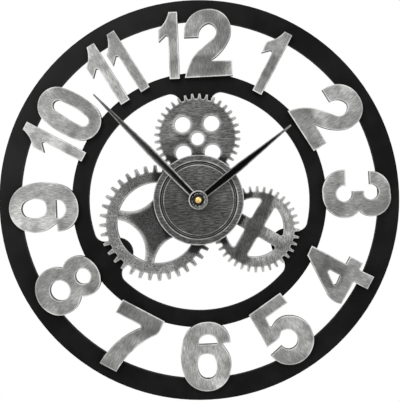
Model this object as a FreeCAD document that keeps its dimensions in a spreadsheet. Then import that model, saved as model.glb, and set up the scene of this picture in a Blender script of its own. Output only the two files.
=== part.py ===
import FreeCAD, Part
import math
import os
import re

import Sketcher

# A round wall clock: numerals on two flat rings, loose toothed wheels, and a battery movement
# behind a hub cover. Millimetres; the origin is on the spindle's axis at the wall, X runs right,
# Z up, and the front looks along -Y. A depth is the distance in front of the wall.

SIZES = {
    # The two rings and the lobes of the inner one
    "outer_ring_radius": 200.0,
    "outer_ring_width": 20.9,
    "inner_ring_radius": 127.3,
    "inner_ring_width": 16.7,
    "ring_thickness": 6.0,
    "lobe_radius": 15.2,
    "lobe_inset": 13.2,
    "lobe_root_radius": 10.0,
    "top_lobe_angle": 90.0,
    "left_lobe_angle": 210.6,
    "right_lobe_angle": 331.1,
    # The numerals
    "numeral_lap_inside": 5.75,
    "numeral_lap_outside": 8.95,
    "numeral_thickness": 6.0,
    # The three toothed wheels of the dial
    "wheel_thickness": 5.0,
    "wheel_teeth": 36,
    "wheel_gap": 0.3,
    "top_wheel_radius": 42.9,
    "top_wheel_tooth": 5.0,
    "top_wheel_angle": 89.2,
    "top_wheel_rim_gap": 4.8,
    "top_wheel_turn": 5.25,
    "left_wheel_radius": 57.5,
    "left_wheel_tooth": 6.6,
    "left_wheel_angle": 206.3,
    "left_wheel_rim_gap": 5.5,
    "left_wheel_turn": 0.0,
    "right_wheel_radius": 42.9,
    "right_wheel_tooth": 5.2,
    "right_wheel_angle": -29.3,
    "right_wheel_rim_gap": 3.6,
    "right_wheel_turn": 3.35,
    # Holes and windows of the wheels
    "large_hole_radius": 7.85,
    "large_hole_across": 14.45,
    "large_hole_above": 12.9,
    "large_hole_below": 15.85,
    "middle_hole_radius": 6.4,
    "middle_hole_below": 1.9,
    "leaf_rim_radius": 40.0,
    "leaf_hollow_radius": 32.5,
    "leaf_reach": 20.2,
    "leaf_angle": 31.0,
    "window_radius": 29.0,
    "window_right": -2.0,
    "window_up": 1.7,
    "window_corner_radius": 2.0,
    "broad_bar_width": 15.0,
    "narrow_bar_width": 12.4,
    "broad_bar_angle": 57.5,
    # The hub cover
    "hub_clearance": 1.56,
    "hub_wall": 4.9,
    "hub_lap": 5.8,
    "hub_face": 4.0,
    "hub_groove_inset": 6.4,
    "hub_groove_width": 3.9,
    "hub_groove_depth": 1.5,
    # The movement's case and what clamps it
    "case_size": 56.0,
    "case_depth": 16.8,
    "case_wall": 1.5,
    "case_corner_radius": 4.0,
    "cover_thickness": 2.5,
    "bay_height": 15.5,
    "bushing_radius": 4.0,
    "bushing_length": 7.5,
    "bushing_gap": 0.1,
    "steel_washer_radius": 8.0,
    "steel_washer_thickness": 0.5,
    "nut_across_flats": 14.0,
    "nut_thickness": 2.2,
    # The hanger
    "hanger_width": 14.0,
    "hanger_thickness": 1.2,
    "hanger_foot": 9.0,
    "hanger_rise": 15.0,
    "hanger_hole_radius": 3.0,
    # The battery and its contacts
    "battery_radius": 7.1,
    "battery_nub_radius": 2.7,
    "battery_nub_length": 1.3,
    "contact_thickness": 0.8,
    "contact_height": 9.0,
    "contact_depth": 8.0,
    "contact_bump": 5.0,
    # The motion work: distance, direction and teeth
    "motion_distance": 9.6,
    "motion_angle": 35.0,
    "cannon_teeth": 8,
    "motion_teeth": 24,
    "motion_pinion_teeth": 8,
    "hour_teeth": 32,
    # The motion work: arbors, fits and layers
    "minute_arbor_radius": 1.5,
    "minute_tip_radius": 1.2,
    "pipe_wall": 0.94,
    "motion_arbor_radius": 0.6,
    "running_fit": 0.06,
    "pivot_depth": 0.9,
    "end_play": 0.2,
    "hour_wheel_thickness": 1.2,
    "motion_wheel_thickness": 1.0,
    "pinion_overhang": 0.2,
    "hour_gap": 0.5,
    "motion_gap": 0.6,
    "knob_radius": 5.0,
    "knob_thickness": 1.1,
    "knob_gap": 0.3,
    # The hands and their nut
    "hand_thickness": 1.0,
    "hand_boss_radius": 9.45,
    "hand_root_width": 6.1,
    "hand_belly_width": 7.8,
    "hand_tip_width": 1.5,
    "hour_hand_length": 116.1,
    "hour_hand_angle": 53.35,
    "hour_hand_gap": 1.1,
    "pipe_lip": 1.1,
    "minute_hand_length": 144.5,
    "minute_hand_angle": -42.45,
    "minute_hand_gap": 0.5,
    "minute_tip_length": 3.5,
    "cap_nut_radius": 3.48,
    "cap_nut_side": 1.9,
    "cap_nut_top_radius": 2.2,
    "cap_nut_height": 3.2,
}

# Depths that several pieces share
NUMERAL_FRONT = "(ring_thickness + numeral_thickness)"
WHEEL_FRONT = "(ring_thickness + wheel_thickness)"
CASE_INSIDE = "(case_depth - case_wall)"
FRONT_PIVOT = "(case_depth - case_wall + pivot_depth)"
BACK_PIVOT = "(cover_thickness - pivot_depth)"
HUB_FRONT = "(case_depth + hub_face)"
STEEL_WASHER_FRONT = f"({HUB_FRONT} + steel_washer_thickness)"
BUSHING_FRONT = "(case_depth + bushing_length)"
HOUR_HAND_BACK = f"({BUSHING_FRONT} + hour_hand_gap)"
HOUR_HAND_FRONT = f"({HOUR_HAND_BACK} + hand_thickness)"
PIPE_FRONT = f"({HOUR_HAND_FRONT} + pipe_lip)"
MINUTE_HAND_BACK = f"({PIPE_FRONT} + minute_hand_gap)"
MINUTE_HAND_FRONT = f"({MINUTE_HAND_BACK} + hand_thickness)"
HOUR_WHEEL_FRONT = f"({CASE_INSIDE} - hour_gap)"
HOUR_WHEEL_BACK = f"({HOUR_WHEEL_FRONT} - hour_wheel_thickness)"
MOTION_WHEEL_FRONT = f"({HOUR_WHEEL_BACK} - motion_gap)"
MOTION_WHEEL_BACK = f"({MOTION_WHEEL_FRONT} - motion_wheel_thickness)"
KNOB_FRONT = "(knob_gap + knob_thickness)"

# Distances from the spindle: how far the case's corners reach, the hub cover round them, the
# inner ring's inside, and the circle on which the numerals stand between the two rings
CASE_REACH = "((case_size / 2 - case_corner_radius) * sqrt(2) + case_corner_radius)"
HUB_RADIUS = f"({CASE_REACH} + hub_clearance + hub_wall)"
RING_INSIDE = "(inner_ring_radius - inner_ring_width)"
NUMERAL_LOW = "(inner_ring_radius - numeral_lap_inside)"
NUMERAL_HIGH = "(outer_ring_radius - outer_ring_width + numeral_lap_outside)"
NUMERAL_CIRCLE = f"(({NUMERAL_LOW} + {NUMERAL_HIGH}) / 2)"


def on_dial(distance, angle):
    """Right of the spindle and up from it, for a distance and an angle from the right."""
    return (f"({distance} * cos({angle}))", f"({distance} * sin({angle}))")


# Places on the dial, right of the spindle and up from it
MOTION = on_dial("motion_distance", "motion_angle")
TOP_WHEEL = on_dial(f"({RING_INSIDE} - top_wheel_rim_gap - top_wheel_radius)", "top_wheel_angle")
LEFT_WHEEL = on_dial(f"({RING_INSIDE} - left_wheel_rim_gap - left_wheel_radius)", "left_wheel_angle")
RIGHT_WHEEL = on_dial(f"({RING_INSIDE} - right_wheel_rim_gap - right_wheel_radius)", "right_wheel_angle")

# Outlines of the digits: across in shares of the digits' unit of width, up in shares of their
# height. The first entry of an outline is its start, one point is a straight stroke, and two
# points are an arc through the first of them.
ONE_SHARES = [
    [(0, -0.507)],
    [(0.151, -0.507)],
    [(0.149, 0.493)],
    [(0.022, 0.493)],
    [(-0.052, 0.331), (-0.146, 0.236)],
    [(-0.142, 0.052)],
    [(-0.031, 0.152)],
    [(0, 0.131)],
]
TWO_SHARES = [
    [(0, -0.499)],
    [(0.716, -0.491)],
    [(0.716, -0.266)],
    [(0.427, -0.26)],
    [(0.419, -0.239)],
    [(0.579, -0.104), (0.684, 0.054)],
    [(0.679, 0.349), (0.381, 0.516)],
    [(0.103, 0.4), (0.012, 0.188)],
    [(0.01, 0.104)],
    [(0.224, 0.104)],
    [(0.267, 0.237), (0.381, 0.306)],
    [(0.484, 0.225), (0.422, 0.058)],
    [(0.194, -0.122)],
    [(0.085, -0.275), (0, -0.499)],
]
THREE_SHARES = [
    [(-0.328, 0.224)],
    [(-0.261, 0.421), (0, 0.528)],
    [(0.246, 0.469), (0.349, 0.261)],
    [(0.328, 0.142), (0.266, 0.064)],
    [(0.263, 0.052)],
    [(0.343, -0.054), (0.363, -0.164)],
    [(0.258, -0.382), (0, -0.484)],
    [(-0.273, -0.388), (-0.369, -0.128)],
    [(-0.121, -0.131)],
    [(0.101, -0.207), (0, -0.036)],
    [(-0.039, -0.036)],
    [(-0.039, 0.137)],
    [(0.03, 0.14)],
    [(0.075, 0.313), (-0.131, 0.227)],
]
FOUR_SHARES = [
    [(0.018, 0.512)],
    [(0.178, 0.521)],
    [(0.176, -0.063)],
    [(0.299, -0.066)],
    [(0.299, -0.279)],
    [(0.187, -0.279)],
    [(0.196, -0.521)],
    [(-0.013, -0.518)],
    [(-0.016, -0.285)],
    [(-0.387, -0.273)],
    [(-0.407, -0.164), (-0.372, -0.043)],
    [(-0.009, 0.47)],
]
FOUR_HOLE_SHARES = [
    [(-0.021, -0.064)],
    [(-0.158, -0.075)],
    [(-0.193, -0.051)],
    [(-0.078, 0.101)],
    [(-0.045, 0.122), (-0.021, 0.082)],
]
FIVE_SHARES = [
    [(-0.293, 0.478)],
    [(0.282, 0.512)],
    [(0.293, 0.325)],
    [(-0.101, 0.304)],
    [(-0.122, 0.155)],
    [(-0.096, 0.139)],
    [(0.064, 0.194), (0.224, 0.142)],
    [(0.391, -0.149), (0.224, -0.463)],
    [(-0.134, -0.496), (-0.336, -0.213)],
    [(-0.122, -0.173)],
    [(0.007, -0.294), (0.139, -0.213)],
    [(0.127, -0.051), (-0.015, 0.013)],
    [(-0.085, -0.048)],
    [(-0.128, -0.061)],
    [(-0.315, -0.073)],
    [(-0.3, 0.17)],
]
SIX_SHARES = [
    [(0.261, 0.16)],
    [(0.288, 0.176)],
    [(0.381, 0.181)],
    [(0.276, 0.424), (0.043, 0.504)],
    [(-0.203, 0.422), (-0.336, 0.203)],
    [(-0.367, -0.075), (-0.309, -0.33)],
    [(-0.164, -0.482), (0.01, -0.53)],
    [(0.254, -0.443), (0.367, -0.245)],
    [(0.382, -0.09), (0.336, 0.043)],
]
SIX_UPPER_HOLE_SHARES = [
    [(-0.091, 0.169)],
    [(0.182, 0.169)],
    [(0.181, 0.221)],
    [(0.043, 0.312), (-0.09, 0.221)],
]
SIX_LOWER_HOLE_SHARES = [
    [(-0.075, 0)],
    [(0.024, 0.03), (0.125, -0.009)],
    [(0.167, -0.149), (0.143, -0.288)],
    [(0.03, -0.349), (-0.085, -0.288)],
    [(-0.122, -0.142), (-0.075, 0)],
]
SEVEN_SHARES = [
    [(-0.318, 0.485)],
    [(0.388, 0.485)],
    [(0.388, 0.288)],
    [(0.364, 0.24)],
    [(0.197, -0.045), (0.096, -0.516)],
    [(-0.185, -0.516)],
    [(-0.093, -0.097), (0.11, 0.224)],
    [(0.109, 0.251)],
    [(0.076, 0.267)],
    [(-0.322, 0.269)],
]
EIGHT_SHARES = [
    [(-0.234, 0.058)],
    [(-0.303, 0.239), (-0.203, 0.427)],
    [(0.015, 0.503), (0.254, 0.428)],
    [(0.336, 0.254), (0.272, 0.069)],
    [(0.394, -0.179), (0.278, -0.427)],
    [(0.03, -0.513), (-0.213, -0.431)],
    [(-0.34, -0.201), (-0.234, 0.058)],
]
EIGHT_UPPER_HOLE_SHARES = [
    [(-0.084, 0.252)],
    [(0.034, 0.366), (0.152, 0.252)],
    [(0.034, 0.139), (-0.084, 0.252)],
]
EIGHT_LOWER_HOLE_SHARES = [
    [(-0.122, -0.149)],
    [(0.033, 0), (0.188, -0.149)],
    [(0.033, -0.299), (-0.122, -0.149)],
]
ZERO_SHARES = [
    [(0.53, -0.239)],
    [(0.561, 0.015), (0.537, 0.276)],
    [(0.269, 0.49), (-0.022, 0.291)],
    [(-0.072, -0.045), (-0.06, -0.254)],
    [(0.224, -0.518), (0.53, -0.239)],
]
ZERO_HOLE_SHARES = [
    [(0.325, -0.239)],
    [(0.357, -0.015), (0.352, 0.179)],
    [(0.276, 0.272), (0.187, 0.187)],
    [(0.166, -0.03), (0.161, -0.239)],
    [(0.236, -0.328), (0.325, -0.239)],
]
DIGIT_SHARES = {
    "0": [ZERO_SHARES, ZERO_HOLE_SHARES],
    "1": [ONE_SHARES],
    "2": [TWO_SHARES],
    "3": [THREE_SHARES],
    "4": [FOUR_SHARES, FOUR_HOLE_SHARES],
    "5": [FIVE_SHARES],
    "6": [SIX_SHARES, SIX_UPPER_HOLE_SHARES, SIX_LOWER_HOLE_SHARES],
    "7": [SEVEN_SHARES],
    "8": [EIGHT_SHARES, EIGHT_UPPER_HOLE_SHARES, EIGHT_LOWER_HOLE_SHARES],
}
# The digits of each numeral: the digit, then how far right and up its outline is moved
NUMERAL_SHARES = {
    1: [("1", -0.055, 0)],
    2: [("2", -0.416, 0)],
    3: [("3", 0, 0)],
    4: [("4", 0, 0)],
    5: [("5", 0, 0)],
    6: [("6", 0, 0)],
    7: [("7", 0, 0)],
    8: [("8", 0, 0)],
    9: [("6", -0.005, -0.019)],
    10: [("1", -0.306, 0), ("0", 0, 0)],
    11: [("1", -0.222, 0), ("1", 0.13, 0)],
    12: [("1", -0.364, 0), ("2", -0.136, 0)],
}
# The unit of width, as a share of the numerals' circle
DIGIT_WIDTH_SHARE = 0.43
FEET_OUTWARDS = (4, 5, 6, 7, 8)
# Quarters of the left wheel that have a leaf-shaped window clear of the hub cover
LEAVES_IN_SIGHT = (1, 2, 3)
HOUR_STEP = 360 / 12

# Teeth: a share of the tooth pitch to either side of the tooth's middle, and of the tooth's height
BOARD_TOOTH_SHARES = [(-0.27, 0), (-0.13, 1), (0.13, 1), (0.27, 0)]
METAL_TOOTH_SHARES = [(-0.26, 0), (-0.1, 1), (0.1, 1), (0.26, 0)]
LEAF_TOOTH_SHARES = [(-0.2, 0), (-0.13, 1), (0.13, 1), (0.2, 0)]
# How far teeth reach past the pitch circle and below it, in shares of the module
METAL_TIP_SHARE = 0.9
METAL_ROOT_SHARE = 1.1
LEAF_TIP_SHARE = 0.6
LEAF_ROOT_SHARE = 1.1
# Where a hand is widest, in shares of its length
HAND_BELLY_SHARES = (0.28, 0.45)

UP = FreeCAD.Vector(0, 0, 1)
FACING = FreeCAD.Rotation(FreeCAD.Vector(1, 0, 0), 90)

doc = FreeCAD.newDocument("GearClock")
size = doc.addObject("Spreadsheet::Sheet", "Sizes")
for row, (alias, number) in enumerate(SIZES.items(), 1):
    size.set(f"A{row}", alias)
    size.set(f"B{row}", str(number))
    size.setAlias(f"B{row}", alias)
doc.recompute()


# Tying properties to the sheet

def expression(text):
    """The same formula with every size looked up in the sheet."""
    return re.sub(r"[a-z_]+", lambda word: "Sizes." + word[0] if word[0] in SIZES else word[0], text)


def bind(thing, prop, text):
    thing.setExpression(prop, expression(text))


def place(piece, right="0", up="0", turn=0.0):
    """Stands a piece up that was drawn lying on its back, turned clockwise in front view."""
    spin = FreeCAD.Rotation(UP, -turn)
    piece.Placement = FreeCAD.Placement(FreeCAD.Vector(), FACING.multiply(spin))
    bind(piece, "Placement.Base.x", right)
    bind(piece, "Placement.Base.z", up)


# Sketches

def new_body(name):
    body = doc.addObject("PartDesign::Body", name)
    body.Label = name
    body.AllowCompound = True
    return body


def new_sketch(body, name, depth="0", plane_role="XY_Plane"):
    """A sketch in a body, parallel to the wall at a depth, or upright through the body's axis."""
    sketch = body.newObject("Sketcher::SketchObject", name)
    plane = next(part for part in body.Origin.OriginFeatures if part.Role == plane_role)
    sketch.AttachmentSupport = [(plane, "")]
    sketch.MapMode = "FlatFace"
    if plane_role == "XY_Plane":
        bind(sketch, "AttachmentOffset.Base.z", depth)
    return sketch


def hold(sketch, kind, geometry, name, text):
    """A named dimension of a sketch that follows a formula."""
    start = 0.0 if kind.startswith("Distance") else 1.0
    number = sketch.addConstraint(Sketcher.Constraint(kind, *geometry, start))
    sketch.renameConstraint(number, name)
    bind(sketch, f"Constraints.{name}", text)


def draw_circle(sketch, radius, right="0", up="0"):
    number = sketch.addGeometry(Part.Circle(), False)
    hold(sketch, "Radius", (number,), f"radius_{number}", radius)
    if (right, up) == ("0", "0"):
        sketch.addConstraint(Sketcher.Constraint("Coincident", number, 3, -1, 1))
        return
    hold(sketch, "DistanceX", (-1, 1, number, 3), f"right_{number}", right)
    hold(sketch, "DistanceY", (-1, 1, number, 3), f"up_{number}", up)


def draw_rectangle(sketch, left, right, bottom, top):
    corners = [FreeCAD.Vector(0, 0), FreeCAD.Vector(1, 0), FreeCAD.Vector(1, 1), FreeCAD.Vector(0, 1)]
    first = sketch.GeometryCount
    for start, end in zip(corners, corners[1:] + corners[:1]):
        sketch.addGeometry(Part.LineSegment(start, end), False)
    floor, side, roof, post = range(first, first + 4)
    for one, other in ((floor, side), (side, roof), (roof, post), (post, floor)):
        sketch.addConstraint(Sketcher.Constraint("Coincident", one, 2, other, 1))
    for line in (floor, roof):
        sketch.addConstraint(Sketcher.Constraint("Horizontal", line))
    for line in (side, post):
        sketch.addConstraint(Sketcher.Constraint("Vertical", line))
    hold(sketch, "DistanceX", (-1, 1, floor, 1), f"left_{first}", left)
    hold(sketch, "DistanceX", (-1, 1, roof, 1), f"right_{first}", right)
    hold(sketch, "DistanceY", (-1, 1, floor, 1), f"bottom_{first}", bottom)
    hold(sketch, "DistanceY", (-1, 1, roof, 1), f"top_{first}", top)


def draw_outline(sketch, outline):
    """A closed outline: its start, then strokes of one point (a line) or two (an arc)."""
    start = FreeCAD.Vector(*outline[0][0])
    here = start
    strokes = []
    for stroke in outline[1:]:
        points = [FreeCAD.Vector(*point) for point in stroke]
        if len(points) == 1:
            strokes.append(Part.LineSegment(here, points[0]))
        else:
            strokes.append(Part.Arc(here, points[0], points[1]))
        here = points[-1]
    if not here.isEqual(start, Part.Precision.confusion()):
        strokes.append(Part.LineSegment(here, start))
    sketch.addGeometry(strokes, False)


# Features

def add_layer(body, name, back, front, draw):
    """Material between two depths, in the shape that draw puts into its sketch."""
    sketch = new_sketch(body, f"{name}_sketch", back)
    draw(sketch)
    pad = body.newObject("PartDesign::Pad", name)
    pad.Profile = sketch
    bind(pad, "Length", f"({front}) - ({back})")
    return pad


def cut_layer(body, name, back, front, draw):
    """A cut from one depth forward to another."""
    sketch = new_sketch(body, f"{name}_sketch", front)
    draw(sketch)
    pocket = body.newObject("PartDesign::Pocket", name)
    pocket.Profile = sketch
    bind(pocket, "Length", f"({front}) - ({back})")
    return pocket


def add_turning(body, name, profile):
    """A turned form from a profile of (radius, depth) points."""
    sketch = new_sketch(body, f"{name}_sketch", plane_role="XZ_Plane")
    draw_outline(sketch, profile)
    turning = body.newObject("PartDesign::Revolution", name)
    turning.Profile = sketch
    turning.ReferenceAxis = (sketch, ["V_Axis"])
    turning.Angle = 360
    return turning


def round_edges(body, name, base, radius, wanted):
    """Rounds the edges of a feature that run from front to back where wanted says so."""
    doc.recompute()
    edges = []
    for number, edge in enumerate(base.Shape.Edges, 1):
        if len(edge.Vertexes) < 2:
            continue
        first, last = (vertex.Point for vertex in edge.Vertexes)
        upright = (last - first).cross(UP).Length < Part.Precision.confusion()
        if upright and wanted(first):
            edges.append(f"Edge{number}")
    fillet = body.newObject("PartDesign::Fillet", name)
    fillet.Base = (base, edges)
    bind(fillet, "Radius", radius)
    return fillet


def circle(radius, right="0", up="0"):
    return lambda sketch: draw_circle(sketch, radius, right, up)


def rectangle(left, right, bottom, top):
    return lambda sketch: draw_rectangle(sketch, left, right, bottom, top)


def outlines(*shapes):
    def draw(sketch):
        for shape in shapes:
            draw_outline(sketch, shape)
    return draw


def polar(radius, angle):
    """A point at a distance and an angle in degrees from the right."""
    return (radius * math.cos(math.radians(angle)), radius * math.sin(math.radians(angle)))


def turned(outline, angle):
    """An outline turned anticlockwise by an angle in degrees."""
    cosine, sine = polar(1, angle)
    return [[(x * cosine - y * sine, x * sine + y * cosine) for x, y in stroke] for stroke in outline]


# Rings

def build_outer_ring():
    body = new_body("outer_ring")
    add_layer(body, "outer_ring_board", "0", "ring_thickness", circle("outer_ring_radius"))
    cut_layer(body, "outer_ring_opening", "0", "ring_thickness",
              circle("outer_ring_radius - outer_ring_width"))
    place(body)


def lobe_outline():
    """A lobe that reaches inwards along the X axis, rooted in the middle of the ring's board."""
    inside = size.inner_ring_radius - size.inner_ring_width
    half = size.lobe_radius
    root = size.lobe_root_radius
    reach = inside - size.lobe_inset
    root_x = math.sqrt((inside - root) ** 2 - (half + root) ** 2)
    ring_angle = math.degrees(math.atan2(half + root, root_x))
    bend = ring_angle / 2 - 45
    bend_x, bend_y = polar(root, bend)
    ring_point = polar(inside, ring_angle)
    anchor = polar(inside + size.inner_ring_width / 2, ring_angle)
    upper = [
        [ring_point],
        [(root_x + bend_x, half + root + bend_y), (root_x, half)],
        [(reach, half)],
        [(reach - half, 0), (reach, -half)],
        [(root_x, -half)],
        [(root_x + bend_x, -half - root - bend_y), (ring_point[0], -ring_point[1])],
        [(anchor[0], -anchor[1])],
        [anchor],
    ]
    return upper


def build_inner_ring():
    body = new_body("inner_ring")
    add_layer(body, "inner_ring_board", "0", "ring_thickness", circle("inner_ring_radius"))
    cut_layer(body, "inner_ring_opening", "0", "ring_thickness",
              circle("inner_ring_radius - inner_ring_width"))
    angles = (size.top_lobe_angle, size.left_lobe_angle, size.right_lobe_angle)
    lobes = [turned(lobe_outline(), angle) for angle in angles]
    add_layer(body, "inner_ring_lobes", "0", "ring_thickness", outlines(*lobes))
    place(body)


# Numerals

def digit_outlines(digit, right_share, up_share, upside_down):
    """A digit's outlines at their real size."""
    sign = -1 if upside_down else 1
    low = size.inner_ring_radius - size.numeral_lap_inside
    high = size.outer_ring_radius - size.outer_ring_width + size.numeral_lap_outside
    height = high - low
    width = (low + high) / 2 * DIGIT_WIDTH_SHARE
    return [
        [[((sign * x + right_share) * width, (sign * y + up_share) * height) for x, y in stroke]
         for stroke in outline]
        for outline in DIGIT_SHARES[digit]
    ]


def build_numeral(hour):
    body = new_body(f"numeral_{hour}")
    shapes = []
    for digit, right_share, up_share in NUMERAL_SHARES[hour]:
        shapes += digit_outlines(digit, right_share, up_share, hour == 9)
    add_layer(body, f"numeral_{hour}_board", "ring_thickness", NUMERAL_FRONT, outlines(*shapes))
    angle = hour * HOUR_STEP
    turn = angle + 180 if hour in FEET_OUTWARDS else angle
    place(body, f"{NUMERAL_CIRCLE} * sin({angle})", f"{NUMERAL_CIRCLE} * cos({angle})", turn)
    return body


def build_numerals():
    numerals = doc.addObject("Part::Compound", "numerals")
    numerals.Label = "numerals"
    numerals.Links = [build_numeral(hour) for hour in range(1, 13)]


# Toothed outlines

def toothed_outline(teeth, tip_radius, root_radius, tooth_shares, tooth_angle):
    """Teeth round a wheel, one of them centred on an angle in degrees from the right."""
    pitch = 360 / teeth
    points = []
    for tooth in range(int(teeth)):
        middle = tooth_angle + tooth * pitch
        for side_share, height_share in tooth_shares:
            radius = root_radius + (tip_radius - root_radius) * height_share
            points.append([polar(radius, middle + side_share * pitch)])
    return points


def metal_wheel(distance, teeth, other_teeth, tooth_angle):
    """A wheel of the train, sized by its distance from its partner."""
    module = 2 * distance / (teeth + other_teeth)
    pitch_radius = module * teeth / 2
    return toothed_outline(teeth, pitch_radius + METAL_TIP_SHARE * module,
                           pitch_radius - METAL_ROOT_SHARE * module, METAL_TOOTH_SHARES, tooth_angle)


def metal_pinion(distance, teeth, other_teeth, gap_angle):
    """A pinion of the train, with a gap between two leaves at an angle."""
    module = 2 * distance / (teeth + other_teeth)
    pitch_radius = module * teeth / 2
    return toothed_outline(teeth, pitch_radius + LEAF_TIP_SHARE * module,
                           pitch_radius - LEAF_ROOT_SHARE * module, LEAF_TOOTH_SHARES,
                           gap_angle + 180 / teeth)


# Toothed wheels of the dial

def start_dial_wheel(name, radius, tooth, turn):
    body = new_body(name)
    teeth = toothed_outline(size.wheel_teeth, radius, radius - tooth, BOARD_TOOTH_SHARES, 90 - turn)
    add_layer(body, f"{name}_board", "ring_thickness", WHEEL_FRONT, outlines(teeth))
    return body


def clear_movement(body, name, right, up):
    """Cuts away what would reach in behind the hub cover, but for a lap under its wall."""
    cut_layer(body, f"{name}_bite", "ring_thickness", WHEEL_FRONT,
              circle(f"{HUB_RADIUS} - hub_lap", f"-{right}", f"-{up}"))


def clear_left_wheel(body, name, right, up):
    """Cuts away what would reach in among the left wheel's teeth."""
    cut_layer(body, f"{name}_clearance", "ring_thickness", WHEEL_FRONT,
              circle("left_wheel_radius + wheel_gap", f"{LEFT_WHEEL[0]} - {right}",
                     f"{LEFT_WHEEL[1]} - {up}"))


def build_top_wheel():
    name = "top_wheel"
    body = start_dial_wheel(name, size.top_wheel_radius, size.top_wheel_tooth, size.top_wheel_turn)

    def holes(sketch):
        draw_circle(sketch, "middle_hole_radius", "0", "-middle_hole_below")
        for side in ("-large_hole_across", "large_hole_across"):
            draw_circle(sketch, "large_hole_radius", side, "large_hole_above")
            draw_circle(sketch, "large_hole_radius", side, "-large_hole_below")
    cut_layer(body, "top_wheel_holes", "ring_thickness", WHEEL_FRONT, holes)
    clear_left_wheel(body, name, *TOP_WHEEL)
    clear_movement(body, name, *TOP_WHEEL)
    place(body, *TOP_WHEEL)


def leaf_outline(angle):
    """A leaf-shaped window between the wheel's rim and a hollow arc that bulges to its middle."""
    rim = size.leaf_rim_radius
    hollow = size.leaf_hollow_radius
    middle = size.leaf_reach + hollow
    corner_x = (middle ** 2 + rim ** 2 - hollow ** 2) / (2 * middle)
    corner_y = math.sqrt(rim ** 2 - corner_x ** 2)
    leaf = [
        [(corner_x, -corner_y)],
        [(rim, 0), (corner_x, corner_y)],
        [(size.leaf_reach, 0), (corner_x, -corner_y)],
    ]
    return turned(leaf, angle)


def build_left_wheel():
    name = "left_wheel"
    body = start_dial_wheel(name, size.left_wheel_radius, size.left_wheel_tooth, size.left_wheel_turn)
    leaves = [leaf_outline(size.leaf_angle + quarter * 90) for quarter in LEAVES_IN_SIGHT]
    cut_layer(body, "left_wheel_leaves", "ring_thickness", WHEEL_FRONT, outlines(*leaves))
    clear_movement(body, name, *LEFT_WHEEL)
    place(body, *LEFT_WHEEL)


def window_outline(along, across):
    """One of four windows between the two crossing bars; along and across are 1 or -1."""
    radius = size.window_radius
    near_x = size.narrow_bar_width / 2
    near_y = size.broad_bar_width / 2
    far_x = math.sqrt(radius ** 2 - near_y ** 2)
    far_y = math.sqrt(radius ** 2 - near_x ** 2)
    corner_angles = math.atan2(near_y, far_x), math.atan2(far_y, near_x)
    bulge_x, bulge_y = polar(radius, math.degrees(sum(corner_angles) / 2))
    window = [
        [(along * near_x, across * near_y)],
        [(along * far_x, across * near_y)],
        [(along * bulge_x, across * bulge_y), (along * near_x, across * far_y)],
    ]
    window = turned(window, size.broad_bar_angle)
    return [[(x + size.window_right, y + size.window_up) for x, y in stroke] for stroke in window]


def build_right_wheel():
    name = "right_wheel"
    body = start_dial_wheel(name, size.right_wheel_radius, size.right_wheel_tooth, size.right_wheel_turn)
    windows = [window_outline(along, across) for along in (1, -1) for across in (1, -1)]
    pocket = cut_layer(body, "right_wheel_windows", "ring_thickness", WHEEL_FRONT, outlines(*windows))
    inside = size.right_wheel_radius - size.right_wheel_tooth
    round_edges(body, "right_wheel_corners", pocket, "window_corner_radius",
                lambda point: math.hypot(point.x, point.y) < inside * (1 - Part.Precision.confusion()))
    clear_left_wheel(body, name, *RIGHT_WHEEL)
    clear_movement(body, name, *RIGHT_WHEEL)
    place(body, *RIGHT_WHEEL)


# Hub cover and what clamps the movement

def build_hub_cover():
    body = new_body("hub_cover")
    back = size.case_depth
    front = back + size.hub_face
    skirt = size.ring_thickness + size.wheel_thickness
    bore = size.bushing_radius + size.bushing_gap
    case_reach = (size.case_size / 2 - size.case_corner_radius) * math.sqrt(2) + size.case_corner_radius
    wall_inside = case_reach + size.hub_clearance
    outside = wall_inside + size.hub_wall
    groove_outside = outside - size.hub_groove_inset
    groove_inside = groove_outside - size.hub_groove_width
    profile = [
        [(bore, back)],
        [(wall_inside, back)],
        [(wall_inside, skirt)],
        [(outside, skirt)],
        [(outside, front)],
        [(groove_outside, front)],
        [(groove_outside, front - size.hub_groove_depth)],
        [(groove_inside, front - size.hub_groove_depth)],
        [(groove_inside, front)],
        [(bore, front)],
    ]
    add_turning(body, "hub_cover_turning", profile)
    place(body)


def build_steel_washer():
    body = new_body("steel_washer")
    add_layer(body, "washer_disc", HUB_FRONT, STEEL_WASHER_FRONT, circle("steel_washer_radius"))
    cut_layer(body, "washer_hole", HUB_FRONT, STEEL_WASHER_FRONT, circle("bushing_radius + bushing_gap"))
    place(body)


def build_hex_nut():
    body = new_body("hex_nut")
    corner = size.nut_across_flats / math.sqrt(3)
    hexagon = [[polar(corner, 60 * side)] for side in range(6)]
    front = f"({STEEL_WASHER_FRONT} + nut_thickness)"
    add_layer(body, "hex_nut_block", STEEL_WASHER_FRONT, front, outlines(hexagon))
    cut_layer(body, "hex_nut_thread", STEEL_WASHER_FRONT, front, circle("bushing_radius"))
    place(body)


# Movement case

def build_movement_case():
    body = new_body("movement_case")
    half = "case_size / 2"
    inner = "(case_size / 2 - case_wall)"
    block = add_layer(body, "case_block", "cover_thickness", "case_depth",
                      rectangle(f"-{half}", half, f"-{half}", half))
    round_edges(body, "case_corners", block, "case_corner_radius", lambda point: True)
    cut_layer(body, "case_room", "cover_thickness", CASE_INSIDE,
              rectangle(f"-{inner}", inner, f"bay_height + case_wall - {inner}", inner))
    cut_layer(body, "case_bay", "cover_thickness", CASE_INSIDE,
              rectangle(f"-{inner}", inner, f"-{inner}", f"bay_height - {inner}"))
    add_layer(body, "case_bushing", CASE_INSIDE, BUSHING_FRONT, circle("bushing_radius"))
    cut_layer(body, "case_bushing_bore", CASE_INSIDE, BUSHING_FRONT,
              circle("minute_arbor_radius + 2 * running_fit + pipe_wall"))
    cut_layer(body, "case_pivot", CASE_INSIDE, FRONT_PIVOT,
              circle("motion_arbor_radius + running_fit", *MOTION))
    place(body)


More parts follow.
